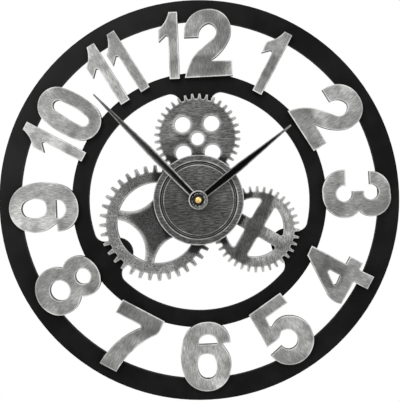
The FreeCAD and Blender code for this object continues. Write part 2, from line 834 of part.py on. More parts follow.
def build_back_cover():
    body = new_body("back_cover")
    half = "case_size / 2"
    inner = "(case_size / 2 - case_wall)"
    plate = add_layer(body, "cover_plate", "0", "cover_thickness",
                      rectangle(f"-{half}", half, f"-{half}", half))
    round_edges(body, "cover_corners", plate, "case_corner_radius", lambda point: True)
    cut_layer(body, "cover_battery_opening", "0", "cover_thickness",
              rectangle(f"-{inner}", inner, f"-{inner}", f"bay_height - {inner}"))
    recess = "(knob_gap + knob_thickness + knob_gap)"
    cut_layer(body, "cover_knob_recess", "0", recess, circle("knob_radius + knob_gap", *MOTION))
    cut_layer(body, "cover_knob_hole", recess, "cover_thickness",
              circle("motion_arbor_radius + running_fit", *MOTION))
    cut_layer(body, "cover_pivot", BACK_PIVOT, "cover_thickness",
              circle("minute_arbor_radius + running_fit"))
    place(body)


def build_hanger():
    body = new_body("hanger")
    half = "hanger_width / 2"
    seat = "case_size / 2"
    add_layer(body, "hanger_foot", "cover_thickness", "cover_thickness + hanger_foot",
              rectangle(f"-{half}", half, seat, f"{seat} + hanger_thickness"))
    add_layer(body, "hanger_tab", "cover_thickness", "cover_thickness + hanger_thickness",
              rectangle(f"-{half}", half, seat, f"{seat} + hanger_rise - {half}"))
    add_layer(body, "hanger_head", "cover_thickness", "cover_thickness + hanger_thickness",
              circle(half, "0", f"{seat} + hanger_rise - {half}"))
    cut_layer(body, "hanger_hole", "cover_thickness", "cover_thickness + hanger_thickness",
              circle("hanger_hole_radius", "0", f"{seat} + hanger_rise - {half}"))
    place(body)


# Battery and contacts

def lie_across(piece, left, up, depth):
    """Lays a round piece along X with its left end at a place."""
    piece.Placement = FreeCAD.Placement(FreeCAD.Vector(), FreeCAD.Rotation(FreeCAD.Vector(0, 1, 0), 90))
    bind(piece, "Placement.Base.x", left)
    bind(piece, "Placement.Base.y", f"-({depth})")
    bind(piece, "Placement.Base.z", up)


def add_rod(name, radius, length, left, up, depth):
    rod = doc.addObject("Part::Cylinder", name)
    bind(rod, "Radius", radius)
    bind(rod, "Height", length)
    lie_across(rod, left, up, depth)
    return rod


def add_box(name, left, right, bottom, top, back, front):
    block = doc.addObject("Part::Box", name)
    bind(block, "Length", f"{right} - ({left})")
    bind(block, "Width", f"{front} - ({back})")
    bind(block, "Height", f"{top} - ({bottom})")
    bind(block, "Placement.Base.x", left)
    bind(block, "Placement.Base.y", f"-({front})")
    bind(block, "Placement.Base.z", bottom)
    return block


def fuse(name, shapes):
    whole = doc.addObject("Part::MultiFuse", name)
    whole.Label = name
    whole.Shapes = shapes
    return whole


BAY_INNER = "(case_size / 2 - case_wall)"
BAY_UP = f"(bay_height / 2 - {BAY_INNER})"
BATTERY_DEPTH = "(battery_radius + end_play)"
BATTERY_LEFT = f"(2 * contact_thickness - {BAY_INNER} + end_play / 2)"
NUB_LEFT = f"({BAY_INNER} - contact_thickness - battery_nub_length)"


def build_battery():
    can = add_rod("battery_can", "battery_radius", f"{NUB_LEFT} - {BATTERY_LEFT}", BATTERY_LEFT,
                  BAY_UP, BATTERY_DEPTH)
    nub = add_rod("battery_nub", "battery_nub_radius", "battery_nub_length", NUB_LEFT, BAY_UP,
                  BATTERY_DEPTH)
    fuse("battery", [can, nub])


def build_contacts():
    sides = {
        "bottom": f"{BAY_UP} - contact_height / 2",
        "top": f"{BAY_UP} + contact_height / 2",
        "back": f"{BATTERY_DEPTH} - contact_depth / 2",
        "front": f"{BATTERY_DEPTH} + contact_depth / 2",
    }
    plate = add_box("negative_plate", f"-{BAY_INNER}", f"contact_thickness - {BAY_INNER}", **sides)
    bump = add_box("negative_bump", f"contact_thickness - {BAY_INNER}",
                   f"2 * contact_thickness - {BAY_INNER}", f"{BAY_UP} - contact_bump / 2",
                   f"{BAY_UP} + contact_bump / 2", f"{BATTERY_DEPTH} - contact_bump / 2",
                   f"{BATTERY_DEPTH} + contact_bump / 2")
    fuse("battery_contact_negative", [plate, bump])
    positive = add_box("battery_contact_positive", f"{BAY_INNER} - contact_thickness", BAY_INNER, **sides)
    positive.Label = "battery_contact_positive"


# The motion work, from the minute arbor to the hour wheel

def build_minute_arbor():
    body = new_body("minute_arbor")
    add_layer(body, "minute_spindle", f"{BACK_PIVOT} + end_play", MINUTE_HAND_BACK,
              circle("minute_arbor_radius"))
    add_layer(body, "minute_tip", MINUTE_HAND_BACK, f"{MINUTE_HAND_BACK} + minute_tip_length",
              circle("minute_tip_radius"))
    pinion = metal_wheel(size.motion_distance, size.cannon_teeth, size.motion_teeth, size.motion_angle)
    add_layer(body, "cannon_pinion", f"{MOTION_WHEEL_BACK} - pinion_overhang",
              f"{MOTION_WHEEL_FRONT} + pinion_overhang", outlines(pinion))
    place(body)


def build_motion_wheel():
    body = new_body("motion_wheel")
    add_layer(body, "motion_arbor", KNOB_FRONT, f"{FRONT_PIVOT} - end_play", circle("motion_arbor_radius"))
    wheel = metal_wheel(size.motion_distance, size.motion_teeth, size.cannon_teeth,
                        size.motion_angle + 180 + 180 / size.motion_teeth)
    add_layer(body, "motion_plate", MOTION_WHEEL_BACK, MOTION_WHEEL_FRONT, outlines(wheel))
    pinion = metal_pinion(size.motion_distance, size.motion_pinion_teeth, size.hour_teeth,
                          size.motion_angle + 180)
    add_layer(body, "motion_pinion", MOTION_WHEEL_FRONT, HOUR_WHEEL_FRONT, outlines(pinion))
    place(body, *MOTION)


def build_hour_wheel():
    body = new_body("hour_wheel")
    wheel = metal_wheel(size.motion_distance, size.hour_teeth, size.motion_pinion_teeth, size.motion_angle)
    add_layer(body, "hour_plate", HOUR_WHEEL_BACK, HOUR_WHEEL_FRONT, outlines(wheel))
    add_layer(body, "hour_pipe", HOUR_WHEEL_BACK, PIPE_FRONT,
              circle("minute_arbor_radius + running_fit + pipe_wall"))
    cut_layer(body, "hour_pipe_bore", HOUR_WHEEL_BACK, PIPE_FRONT,
              circle("minute_arbor_radius + running_fit"))
    place(body)


def build_setting_knob():
    body = new_body("setting_knob")
    add_layer(body, "knob_disc", "knob_gap", KNOB_FRONT, circle("knob_radius"))
    place(body, *MOTION)


# Hands

def build_hand(name, length, angle, back, front, bore):
    """A flat hand: a blade that swells and then tapers, on a round boss."""
    body = new_body(name)
    swell_share, taper_share = HAND_BELLY_SHARES
    edge = [
        (size.hand_root_width / 2, 0),
        (size.hand_belly_width / 2, length * swell_share),
        (size.hand_belly_width / 2, length * taper_share),
        (size.hand_tip_width / 2, length),
    ]
    blade = [[(x, y)] for x, y in edge] + [[(-x, y)] for x, y in reversed(edge)]
    add_layer(body, f"{name}_blade", back, front, outlines(blade))
    add_layer(body, f"{name}_boss", back, front, circle("hand_boss_radius"))
    cut_layer(body, f"{name}_bore", back, front, circle(bore))
    place(body, turn=angle)


def build_cap_nut():
    body = new_body("cap_nut")
    back = (size.case_depth + size.bushing_length + size.hour_hand_gap + 2 * size.hand_thickness
            + size.pipe_lip + size.minute_hand_gap)
    rim = size.cap_nut_radius
    top = back + size.cap_nut_height
    shoulder = back + size.cap_nut_side
    profile = [
        [(0, back)],
        [(rim, back)],
        [(rim, shoulder)],
        [(size.cap_nut_top_radius, top)],
        [(0, top)],
    ]
    add_turning(body, "cap_nut_turning", profile)
    cut_layer(body, "cap_nut_bore", MINUTE_HAND_FRONT,
              f"{MINUTE_HAND_BACK} + minute_tip_length + running_fit", circle("minute_tip_radius"))
    place(body)


def build_all():
    build_outer_ring()
    build_inner_ring()
    build_numerals()
    build_top_wheel()
    build_left_wheel()
    build_right_wheel()
    build_hub_cover()
    build_steel_washer()
    build_hex_nut()
    build_movement_case()
    build_back_cover()
    build_hanger()
    build_battery()
    build_contacts()
    build_minute_arbor()
    build_motion_wheel()
    build_hour_wheel()
    build_setting_knob()
    build_hand("hour_hand", size.hour_hand_length, size.hour_hand_angle, HOUR_HAND_BACK,
               HOUR_HAND_FRONT, "minute_arbor_radius + running_fit + pipe_wall")
    build_hand("minute_hand", size.minute_hand_length, size.minute_hand_angle, MINUTE_HAND_BACK,
               MINUTE_HAND_FRONT, "minute_tip_radius")
    build_cap_nut()


def finished_pieces():
    """Every body, box, union and group that no other union or group holds."""
    kinds = ("PartDesign::Body", "Part::Box", "Part::MultiFuse", "Part::Compound")
    for piece in doc.Objects:
        held = any(other.TypeId in ("Part::MultiFuse", "Part::Compound") for other in piece.InList)
        if piece.TypeId in kinds and not held:
            yield piece


def check_and_write():
    for thing in doc.Objects:
        if "Invalid" in thing.State or "Error" in thing.State:
            raise RuntimeError(f"{thing.Label} failed: {thing.State}")
        # A clearance has nothing to cut away where its wheels stand well apart
        if thing.TypeId == "PartDesign::Pocket" and not thing.Label.endswith("_clearance"):
            if thing.Shape.Volume >= thing.BaseFeature.Shape.Volume:
                raise RuntimeError(f"{thing.Label} cuts nothing")
    os.makedirs("parts", exist_ok=True)
    for piece in finished_pieces():
        if piece.Shape.isNull() or not piece.Shape.isValid():
            raise RuntimeError(f"{piece.Label} has no valid shape")
        piece.Shape.exportStep(f"parts/{piece.Label}.step")


build_all()
doc.recompute()
check_and_write()
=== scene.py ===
import math

import bmesh
import bpy
from mathutils import Euler, Matrix, Vector


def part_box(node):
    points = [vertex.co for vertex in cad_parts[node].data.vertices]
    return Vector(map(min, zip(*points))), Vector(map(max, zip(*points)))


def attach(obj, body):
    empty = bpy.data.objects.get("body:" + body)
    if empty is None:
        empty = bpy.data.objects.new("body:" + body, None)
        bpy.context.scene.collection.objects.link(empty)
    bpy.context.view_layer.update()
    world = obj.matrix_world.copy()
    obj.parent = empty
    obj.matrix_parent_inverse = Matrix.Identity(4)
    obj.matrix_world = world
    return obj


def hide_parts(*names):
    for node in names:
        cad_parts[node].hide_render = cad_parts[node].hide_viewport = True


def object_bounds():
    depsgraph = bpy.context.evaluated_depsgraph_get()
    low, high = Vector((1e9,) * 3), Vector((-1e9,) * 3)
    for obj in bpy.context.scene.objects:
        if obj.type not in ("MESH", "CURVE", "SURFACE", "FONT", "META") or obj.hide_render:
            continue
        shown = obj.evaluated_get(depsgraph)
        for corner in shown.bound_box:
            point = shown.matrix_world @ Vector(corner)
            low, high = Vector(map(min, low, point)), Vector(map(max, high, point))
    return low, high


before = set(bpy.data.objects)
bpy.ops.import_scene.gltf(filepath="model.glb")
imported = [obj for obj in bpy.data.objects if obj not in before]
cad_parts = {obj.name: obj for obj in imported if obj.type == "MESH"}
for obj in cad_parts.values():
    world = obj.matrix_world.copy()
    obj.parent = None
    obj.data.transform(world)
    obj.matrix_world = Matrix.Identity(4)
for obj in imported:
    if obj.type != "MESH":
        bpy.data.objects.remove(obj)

CAD_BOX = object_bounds()
MM = 0.001

# Where the photograph was taken from: the dial's middle is at this pixel, one pixel is one
# millimetre at the rings' front, and the dial hangs turned a little anticlockwise.
PHOTO_SIZE = (400, 401)
DIAL_PIXEL = (199.3, 200.0)
DIAL_TURN = math.radians(2.35)
CAMERA_DISTANCE = 775 * MM
CAMERA_RIGHT = 33 * MM
SENSOR_WIDTH = 36.0
RING_FRONT = 6 * MM

# Lamps: name, place and side of the square in metres, and watts
LAMPS = [("key_lamp", (-0.5, -1.3, 1.0), 0.9, 16), ("fill_lamp", (0.9, -1.2, 0.1), 1.2, 7)]
AMBIENT_STRENGTH = 0.66

# The floor in metres: half its side, and how far it lies below the clock
FLOOR_HALF, FLOOR_DROP = 0.6, 0.22

# The black ground of the board, the white surroundings, and the blue in a grey beside its red
BLACK = (0.008, 0.008, 0.009, 1)
WHITE = (1, 1, 1, 1)
GREY_BLUE = 0.985

# Colours of the hands' root, the battery's sleeve, worn and marked places, metals and plastics
DEEP_BLACK, SMUDGED_BLACK = (0.003, 0.003, 0.003, 1), (0.04, 0.04, 0.045, 1)
DARK_GREEN, LIGHT_GREEN = (0.03, 0.16, 0.08, 1), (0.045, 0.22, 0.11, 1)
RING_INK = (0.02, 0.03, 0.025, 1)
CAN_METAL, WORN_METAL = (0.6, 0.6, 0.62, 1), (1, 0.97, 0.9, 1)
MARK_WHITE, WORN_PLASTIC = (0.5, 0.5, 0.48, 1), (0.05, 0.05, 0.05, 1)
STEEL, BRASS = (0.56, 0.56, 0.57, 1), (0.78, 0.56, 0.2, 1)
BLACK_PLASTIC, GREY_PLASTIC = (0.016, 0.016, 0.018, 1), (0.16, 0.16, 0.165, 1)
WHITE_PLASTIC = (0.55, 0.55, 0.52, 1)

# The stretch in which most of a noise lies
NOISE_LOW, NOISE_HIGH = 0.3, 0.7

# A face looks to the front or the back where its normal's part to the back passes these
FRONT_FACE = (-0.3, -0.8)
BACK_FACE = (0.5, 0.9)

# How open the board's inside is where its worn rim starts, and where the rim is full
RIM_START, RIM_FULL = 0.95, 0.7
RIM_SAMPLES, EDGE_SAMPLES = 8, 6
BUMP_STRENGTH = 0.6

# A thin line starts and is full at these shares of its half width
LINE_START, LINE_FULL = 1.7, 0.6

# Directions in the dial's plane, toward a painted sheen and painted light, and the angle from one
# hour to the next
SHEEN_UPPER_LEFT = (-0.8, 0, 0.6)
LIT_LOWER_RIGHT = (0.8, 0, -0.6)
HOUR_ANGLE = math.radians(360 / 12)

# From here on lengths are in millimetres, and places are (right, up) from the dial's middle.
DIAL_MIDDLE = (0, 0)

# The wheels' middles and the radii at their teeth's roots
TOP_WHEEL, TOP_ROOT = (0.9, 62.9), 37
LEFT_WHEEL, LEFT_ROOT = (-42.7, -21.1), 51
RIGHT_WHEEL, RIGHT_ROOT = (55.9, -31.4), 37.5

# The silver is brighter on teeth: where that starts and is full past the root, and how much
TOOTH_START, TOOTH_FULL, TOOTH_SHINE = -1, 2, 1.35

# Round holes of the top wheel
HOLE_RADIUS, MIDDLE_HOLE_RADIUS = 7.85, 6.4
LEFT_HOLES, RIGHT_HOLES = -13.6, 15.3
UPPER_HOLES, LOWER_HOLES = 75.8, 47

# Arcs of the left wheel's windows: their radius, and how far from the wheel's middle they reach
WINDOW_ARC = 32.5
WINDOW_REACH = 40

# A halo, a painted highlight on rubbed silver, is full this far outside its hole, and fades over
# a soft width where its reach ends
HALO_GAP, HALO_SOFT = 0.2, 2

# Numerals and wheels: the worn rim's width, how far the outline of a place of painted shade
# wanders, and how far the painted shade turns the silver black
RIM_WIDTH, RAGGED, SHADE_AMOUNT = 0.9, 1.2, 0.95

# Painted shade, black, on the wheels round the foot of the hub cover: radius, soft width and place
HUB_SHADE = (46.2, 1.2, DIAL_MIDDLE)

# The hub cover has painted light, lighter to the top and the right over these half widths; it is
# also lighter where its middle ends. Its groove is black: within a radius, and where it lies deep
# behind the front.
HUB_LIGHT_UP, HUB_LIGHT_RIGHT = 38, 44
HUB_MIDDLE = (38.2, 39.2)
GROOVE_REACH = (42, 41)
GROOVE_DEPTH = (0.3, 0.9)

# Worn lines on the hub cover: radius, half width and brightness
HUB_LINES = [(44.0, 0.42, 1.0), (38.6, 0.4, 0.8), (36.4, 0.28, 0.3), (34.5, 0.4, 0.95)]

# The hands' outline: half widths, and the shares of the length between which the belly lies
HAND_ROOT_HALF, HAND_BELLY_HALF, HAND_TIP_HALF = 3.05, 3.9, 0.75
HAND_BELLY_SHARES = (0.28, 0.45)

# The silver along a hand's edges: how it fades inwards, in its own widths, and the most of the
# half width that it takes
HAND_EDGE_FADE, HAND_EDGE_MOST = (1.15, 0.35), 0.6

# Along a hand, in shares of its length: where the edges' silver thins, where the tip turns
# silver, where the haze grows, and where the dark spine fades out
EDGE_SHARES, TIP_SHARES = (0.35, 0.85), (0.8, 1.0)
HAZE_SHARES, SPINE_SHARES = (0.02, 0.4), (0.6, 0.3)

# The dark spine's middle and half width and how dark it is, and half the width over which the
# haze fades across the hand
SPINE_LINE, SPINE_AMOUNT, HAZE_HALF = (0.3, 0.9), 0.85, 1.5

# The hands' round root: where the ring round the nut ends, where the root ends, and two worn
# lines, each as radius and half width. Its land has painted light, lighter to the lower right.
HAND_RING_END = (5.6, 6.4)
HAND_ROOT_END = (9.6, 9.4)
HAND_INNER_LINE = (6.2, 0.35)
HAND_OUTER_LINE = (8.95, 0.55)
HAND_LIGHT_HALF = 7
HAND_SILVER = (0.26, 0.5)

# The back cover: strokes round the knob, a circle outside them, and the battery's signs
KNOB_STROKES, STROKES_RADIUS, STROKES_HALF = 24, 7.6, 0.6
CIRCLE_RADIUS, CIRCLE_HALF = 9.2, 0.18
SIGN_OUT, SIGN_ABOVE_LOW, SIGN_HALF = 23.5, 21, 1.6
SIGN_THICK, SIGN_SOFT = 0.25, 0.15

# The battery: its green band from the plus end, thin rings, and bare metal at the two ends
BAND_LENGTH, BAND_RING, MINUS_RING, RING_HALF = 15, 16, 4, 0.3
MINUS_METAL, PLUS_METAL, PRINT_SOFT = 1, 1.9, 0.2

# The cap nut's outline, as radius and distance before its back
CAP_NUT_OUTLINE = [(0, 2.75), (1.27, 2.75), (1.27, 0), (3.3, 0), (3.48, 0.15), (3.48, 1.1),
                   (3.4, 1.5), (3.1, 2.1), (2.6, 2.6), (1.9, 2.95), (1.0, 3.15), (0, 3.2)]

# The setting knob's ribs, and the steps round a turned form
KNOB_RIBS, KNOB_RIB_DEPTH = 30, 0.3
RIB_STEPS, ROUND_STEPS = 4, 48


# Materials

class Paint:
    """A node material whose maths is written as calls.

    Lengths that nodes give are in metres, and lengths given as numbers are in millimetres.
    """

    def __init__(self, name):
        self.material = bpy.data.materials.new(name)
        self.material.use_nodes = True
        self.tree = self.material.node_tree
        self.shader = self.tree.nodes["Principled BSDF"]
        self.normal = self.tree.nodes.new("ShaderNodeNewGeometry").outputs["True Normal"]
        self.place = self.tree.nodes.new("ShaderNodeTexCoord").outputs["Object"]

    def node(self, kind, *inputs, **settings):
        """A new node with its settings, and its inputs in order."""
        made = self.tree.nodes.new(kind)
        for key, value in settings.items():
            setattr(made, key, value)
        for socket, value in zip(made.inputs, inputs):
            self.give(socket, value)
        return made

    def give(self, socket, value):
        """Links an output to a socket, or sets the socket's value. None leaves it as it is."""
        if isinstance(value, bpy.types.NodeSocket):
            self.tree.links.new(value, socket)
        elif value is not None:
            socket.default_value = value

    def math(self, operation, *inputs, clamp=False):
        """The outcome of one operation on numbers."""
        return self.node("ShaderNodeMath", *inputs, operation=operation, use_clamp=clamp).outputs[0]

    def total(self, first, *others):
        """The sum of some values."""
        for other in others:
            first = self.math("ADD", first, other)
        return first

    def product(self, first, *others):
        """The product of some values."""
        for other in others:
            first = self.math("MULTIPLY", first, other)
        return first

    def vector(self, operation, *inputs):
        """A node for one operation on vectors."""
        return self.node("ShaderNodeVectorMath", *inputs, operation=operation)

    def dot(self, first, second):
        """The dot product of two vectors."""
        return self.vector("DOT_PRODUCT", first, second).outputs["Value"]

    def parts(self, vector):
        """A vector's parts to the right, to the back and up."""
        return self.node("ShaderNodeSeparateXYZ", vector).outputs

    def spread(self, value, low, high, to_low=0.0, to_high=1.0):
        """The value's stretch from low to high, smoothly on to_low to to_high."""
        made = self.node("ShaderNodeMapRange", value, low, high, to_low, to_high,
                         interpolation_type="SMOOTHSTEP")
        return made.outputs[0]

    def spread_mm(self, length, low, high, to_low=0.0, to_high=1.0):
        """The same for a length from a node, with low and high as millimetres."""
        return self.spread(length, low * MM, high * MM, to_low, to_high)

    def tone(self, noise, dark, light):
        """A level that goes with a noise from dark to light."""
        return self.spread(noise, NOISE_LOW, NOISE_HIGH, dark, light)

    def vary(self, noise, part, low=NOISE_LOW, high=NOISE_HIGH):
        """A factor that goes with a noise from 1 less a part to 1 and a part."""
        return self.spread(noise, low, high, 1 - part, 1 + part)

    def blend(self, amount, first, second):
        """The first colour at the amount 0, and the second at 1."""
        made = self.node("ShaderNodeMix", data_type="RGBA")
        self.give(made.inputs["Factor"], amount)
        self.give(made.inputs["A"], first)
        self.give(made.inputs["B"], second)
        return made.outputs["Result"]

    def grey(self, level):
        """A colour from a level between 0 and 1."""
        blue = self.product(level, GREY_BLUE)
        return self.node("ShaderNodeCombineColor", level, level, blue).outputs[0]

    def noise(self, grain, detail, roughness, place=None):
        """Noise in grains of this size across and up."""
        across, up = grain
        scale = (1 / (across * MM), 1 / (across * MM), 1 / (up * MM))
        counted = self.node("ShaderNodeMapping", place or self.place, None, None, scale)
        made = self.node("ShaderNodeTexNoise", noise_dimensions="3D")
        self.give(made.inputs["Vector"], counted.outputs[0])
        self.give(made.inputs["Scale"], 1.0)
        self.give(made.inputs["Detail"], detail)
        self.give(made.inputs["Roughness"], roughness)
        return made.outputs["Fac"]

    def rounded(self, radius):
        """The normal of the piece as if its sharp edges were rounded."""
        return self.node("ShaderNodeBevel", radius * MM, samples=EDGE_SAMPLES).outputs[0]

    def edge(self, width, gain):
        """How near a sharp edge is, from 0 at the width to 1."""
        turned = self.math("SUBTRACT", 1.0, self.dot(self.rounded(width), self.normal))
        return self.math("MULTIPLY", turned, gain, clamp=True)

    def rim(self, width):
        """1 at a flat face's outline, about a half at the width from it, and 0 at twice that."""
        made = self.node("ShaderNodeAmbientOcclusion", samples=RIM_SAMPLES, inside=True,
                         only_local=True)
        self.give(made.inputs["Distance"], 2 * width * MM)
        return self.spread(made.outputs["AO"], RIM_START, RIM_FULL)

    def facing(self, start, full):
        """From 0 to 1 as the part of the normal to the back goes from start to full."""
        return self.spread(self.parts(self.normal)["Y"], start, full)

    def away(self, first, second=None):
        """Distance in the dial's plane from a place, or from the line between two."""
        start = Vector((first[0], 0, first[1])) * MM
        flat = self.vector("MULTIPLY", self.place, (1, 0, 1)).outputs[0]
        offset = self.vector("SUBTRACT", flat, tuple(start)).outputs[0]
        if second:
            line = Vector((second[0], 0, second[1])) * MM - start
            along = self.dot(offset, tuple(line / line.length_squared))
            reached = self.vector("SCALE", tuple(line))
            self.give(reached.inputs["Scale"], self.math("ADD", along, 0.0, clamp=True))
            offset = self.vector("SUBTRACT", offset, reached.outputs[0]).outputs[0]
        return self.vector("LENGTH", offset).outputs["Value"]

    def zone(self, radius, soft, first, second=None, ragged=None):
        """1 within a radius of a place or line, falling to 0 over the soft width outside it."""
        away = self.away(first, second)
        if ragged is not None:
            away = self.math("ADD", away, ragged)
        return self.spread_mm(away, radius + soft, radius)

    def line(self, length, middle, half):
        """1 on a thin line where a length from a node is near its middle."""
        off = self.math("ABSOLUTE", self.math("SUBTRACT", length, middle * MM))
        return self.spread_mm(off, half * LINE_START, half * LINE_FULL)

    def finish(self, colour, roughness, metallic=0.0, height=None, bump=0.0, rounding=0.0,
               specular=0.3):
        """Joins a paint to its shader and gives the material."""
        normal = self.rounded(rounding) if rounding else None
        if height is not None:
            raised = self.node("ShaderNodeBump")
            self.give(raised.inputs["Strength"], BUMP_STRENGTH)
            self.give(raised.inputs["Distance"], bump * MM)
            self.give(raised.inputs["Height"], height)
            self.give(raised.inputs["Normal"], normal)
            normal = raised.outputs[0]
        for socket, value in (("Base Color", colour), ("Roughness", roughness),
                              ("Metallic", metallic), ("Specular IOR Level", specular),
                              ("Normal", normal)):
            self.give(self.shader.inputs[socket], value)
        return self.material


def halo_mask(paint, halos, halo_reach):
    """How strongly the silver is rubbed bright, with a painted highlight, round some holes or arcs.
    """
    mask = 0.0
    for centre, radius, width, amount in halos:
        band = paint.spread_mm(paint.away(centre), radius + width, radius + HALO_GAP, 0, amount)
        mask = paint.math("MAXIMUM", mask, band)
    if halo_reach:
        centre, radius = halo_reach
        mask = paint.product(mask, paint.zone(radius - HALO_SOFT / 2, HALO_SOFT, centre))
    return mask


def brushed_board(name, level, grain, contrast, coordinates=None, shades=(), halos=(),
                  halo_reach=None, black_and_shade=(), teeth=None, rim_level=0.4, patchy=0.22, speckle=0.32):
    """Black board dry-brushed with silver, in strokes that follow the coordinates.

    Shades make places darker or brighter by a share, as painted light and shade over uneven
    silver: (share, radius, soft, place, place). Halos are painted highlights on silver rubbed bright
    round a hole or arc: (centre, radius, width, amount). They end at halo_reach, a centre and
    radius. Black places stand for painted shade: (radius, soft, place, place).
    Teeth are a wheel's middle and the radius past which it is brighter.
    """
    paint = Paint(name)
    across, up = grain
    place = coordinates(paint) if coordinates else None
    streaks = paint.noise(grain, 4.0, 0.65, place)
    fine = paint.noise((across / 2, up / 2), 2.0, 0.6, place)
    clouds = paint.noise((19, 19), 3.0, 0.5, place)
    silver_and_light = paint.product(level, paint.vary(streaks, contrast, 0.36, 0.64),
                           paint.vary(clouds, patchy, 0.33, 0.67), paint.vary(fine, speckle))
    # Shades: painted light and shade over uneven silver
    for share, radius, soft, *ends in shades:
        shade = paint.spread(paint.zone(radius, soft, *ends), 0, 1, 1, share)
        silver_and_light = paint.product(silver_and_light, shade)
    if teeth:
        middle, root = teeth
        tooth = paint.spread_mm(paint.away(middle), root + TOOTH_START, root + TOOTH_FULL, 1,
                                TOOTH_SHINE)
        silver_and_light = paint.product(silver_and_light, tooth)
    # Halos: painted highlights round holes and arcs
    if halos:
        mask = paint.product(halo_mask(paint, halos, halo_reach),
                             paint.spread(clouds, 0.3, 0.6, 0.5, 1))
        more = paint.math("SUBTRACT", paint.tone(streaks, 0.34, 0.56), silver_and_light)
        silver_and_light = paint.total(silver_and_light, paint.product(mask, more))
    face = paint.grey(silver_and_light)
    ragged = paint.tone(fine, -RAGGED * MM, RAGGED * MM)
    # Black places of painted shade, with a ragged outline
    for radius, soft, *ends in black_and_shade:
        mask = paint.zone(radius, soft, *ends, ragged=ragged)
        face = paint.blend(paint.product(mask, SHADE_AMOUNT), face, BLACK)
    worn = paint.product(paint.rim(RIM_WIDTH), paint.spread(clouds, 0.32, 0.62, 0.3, 1.0))
    face = paint.blend(worn, face, paint.grey(paint.product(rim_level, paint.vary(fine, 0.2))))
    side = paint.grey(paint.spread(fine, 0.3, 0.8, 0.006, 0.02))
    colour = paint.blend(paint.facing(*FRONT_FACE), side, face)
    return paint.finish(colour, paint.spread(streaks, 0.2, 0.8, 0.45, 0.62), metallic=0.15,
                        height=streaks, bump=0.12, rounding=0.4, specular=0.15)


def hourwise(paint):
    """Coordinates turned with the nearest hour, so that a grain runs along each numeral."""
    sides = paint.parts(paint.place)
    angle = paint.math("ARCTAN2", sides["X"], sides["Z"])
    hour = paint.math("SNAP", paint.total(angle, HOUR_ANGLE / 2), HOUR_ANGLE)
    made = paint.node("ShaderNodeVectorRotate", rotation_type="Y_AXIS")
    paint.give(made.inputs["Vector"], paint.place)
    paint.give(made.inputs["Angle"], paint.product(hour, -1.0))
    return made.outputs[0]


def black_board(name):
    """Black painted board with a painted sheen to the upper left, and lighter where its edges are
    worn.
    """
    paint = Paint(name)
    clouds = paint.noise((35, 35), 4.0, 0.6)
    grain = paint.noise((1.2, 1.2), 2.0, 0.7)
    level = paint.total(paint.spread(clouds, 0.35, 0.7, 0.004, 0.008),
                        paint.spread(grain, 0.4, 0.8, 0, 0.003),
                        # painted sheen: lighter towards the upper left
                        paint.spread_mm(paint.dot(paint.place, SHEEN_UPPER_LEFT), 50, 200, 0, 0.008),
                        paint.product(paint.edge(0.8, 4.0), 0.012))
    return paint.finish(paint.grey(level), paint.tone(grain, 0.55, 0.7), height=grain, bump=0.1,
                        rounding=0.6, specular=0.04)


def hub_paint(name, hub):
    """The hub cover: dark grey brushed across, bright worn lines, black in the groove."""
    paint = Paint(name)
    streaks = paint.noise((7, 0.95), 4.0, 0.75)
    clouds = paint.noise((16, 16), 3.0, 0.5)
    sides = paint.parts(paint.place)
    away = paint.away(DIAL_MIDDLE)
    # The level holds painted light: lighter to the top and to the right.
    level = paint.product(paint.spread(streaks, 0.37, 0.65, 0.014, 0.112),
                          paint.tone(clouds, 0.82, 1.2),
                          paint.spread_mm(sides["Z"], -HUB_LIGHT_UP, HUB_LIGHT_UP, 0.8, 1.2),
                          paint.spread_mm(away, *HUB_MIDDLE, 1.0, 1.25),
                          paint.spread_mm(sides["X"], -HUB_LIGHT_RIGHT, HUB_LIGHT_RIGHT, 0.92, 1.12))
    front = hub[0][1] / MM
    deep = paint.spread_mm(sides["Y"], front + GROOVE_DEPTH[0], front + GROOVE_DEPTH[1])
    groove = paint.product(deep, paint.spread_mm(away, *GROOVE_REACH))
    colour = paint.blend(groove, paint.grey(level), paint.grey(paint.tone(streaks, 0.006, 0.018)))
    patchy = paint.spread(clouds, 0.32, 0.62, 0.45, 1.0)
    bright = paint.grey(paint.tone(streaks, 0.3, 0.55))
    for radius, half, amount in HUB_LINES:
        worn = paint.product(paint.line(away, radius, half), amount, patchy)
        colour = paint.blend(worn, colour, bright)
    side = paint.grey(paint.total(paint.tone(streaks, 0.01, 0.04),
                                  paint.product(paint.edge(0.9, 6.0), 0.22)))
    colour = paint.blend(paint.facing(*FRONT_FACE), side, colour)
    return paint.finish(colour, paint.spread(streaks, 0.2, 0.8, 0.42, 0.6), metallic=0.2,
                        height=streaks, bump=0.1, rounding=0.4, specular=0.15)


def hand_edge(paint, share, across, silver_width):
    """1 along a hand's edges, falling to 0 where the silver's width ends."""
    belly_start, belly_end = HAND_BELLY_SHARES
    swell = paint.node("ShaderNodeMapRange", share, 0.0, belly_start, HAND_ROOT_HALF * MM,
                       HAND_BELLY_HALF * MM)
    taper = paint.node("ShaderNodeMapRange", share, belly_end, 1.0, HAND_BELLY_HALF * MM,
                       HAND_TIP_HALF * MM)
    half = paint.math("MINIMUM", swell.outputs[0], taper.outputs[0])
    inside = paint.math("SUBTRACT", half, paint.math("ABSOLUTE", across))
    width = paint.math("MINIMUM", paint.product(half, HAND_EDGE_MOST), silver_width * MM)
    return paint.spread(paint.math("DIVIDE", inside, width), *HAND_EDGE_FADE)


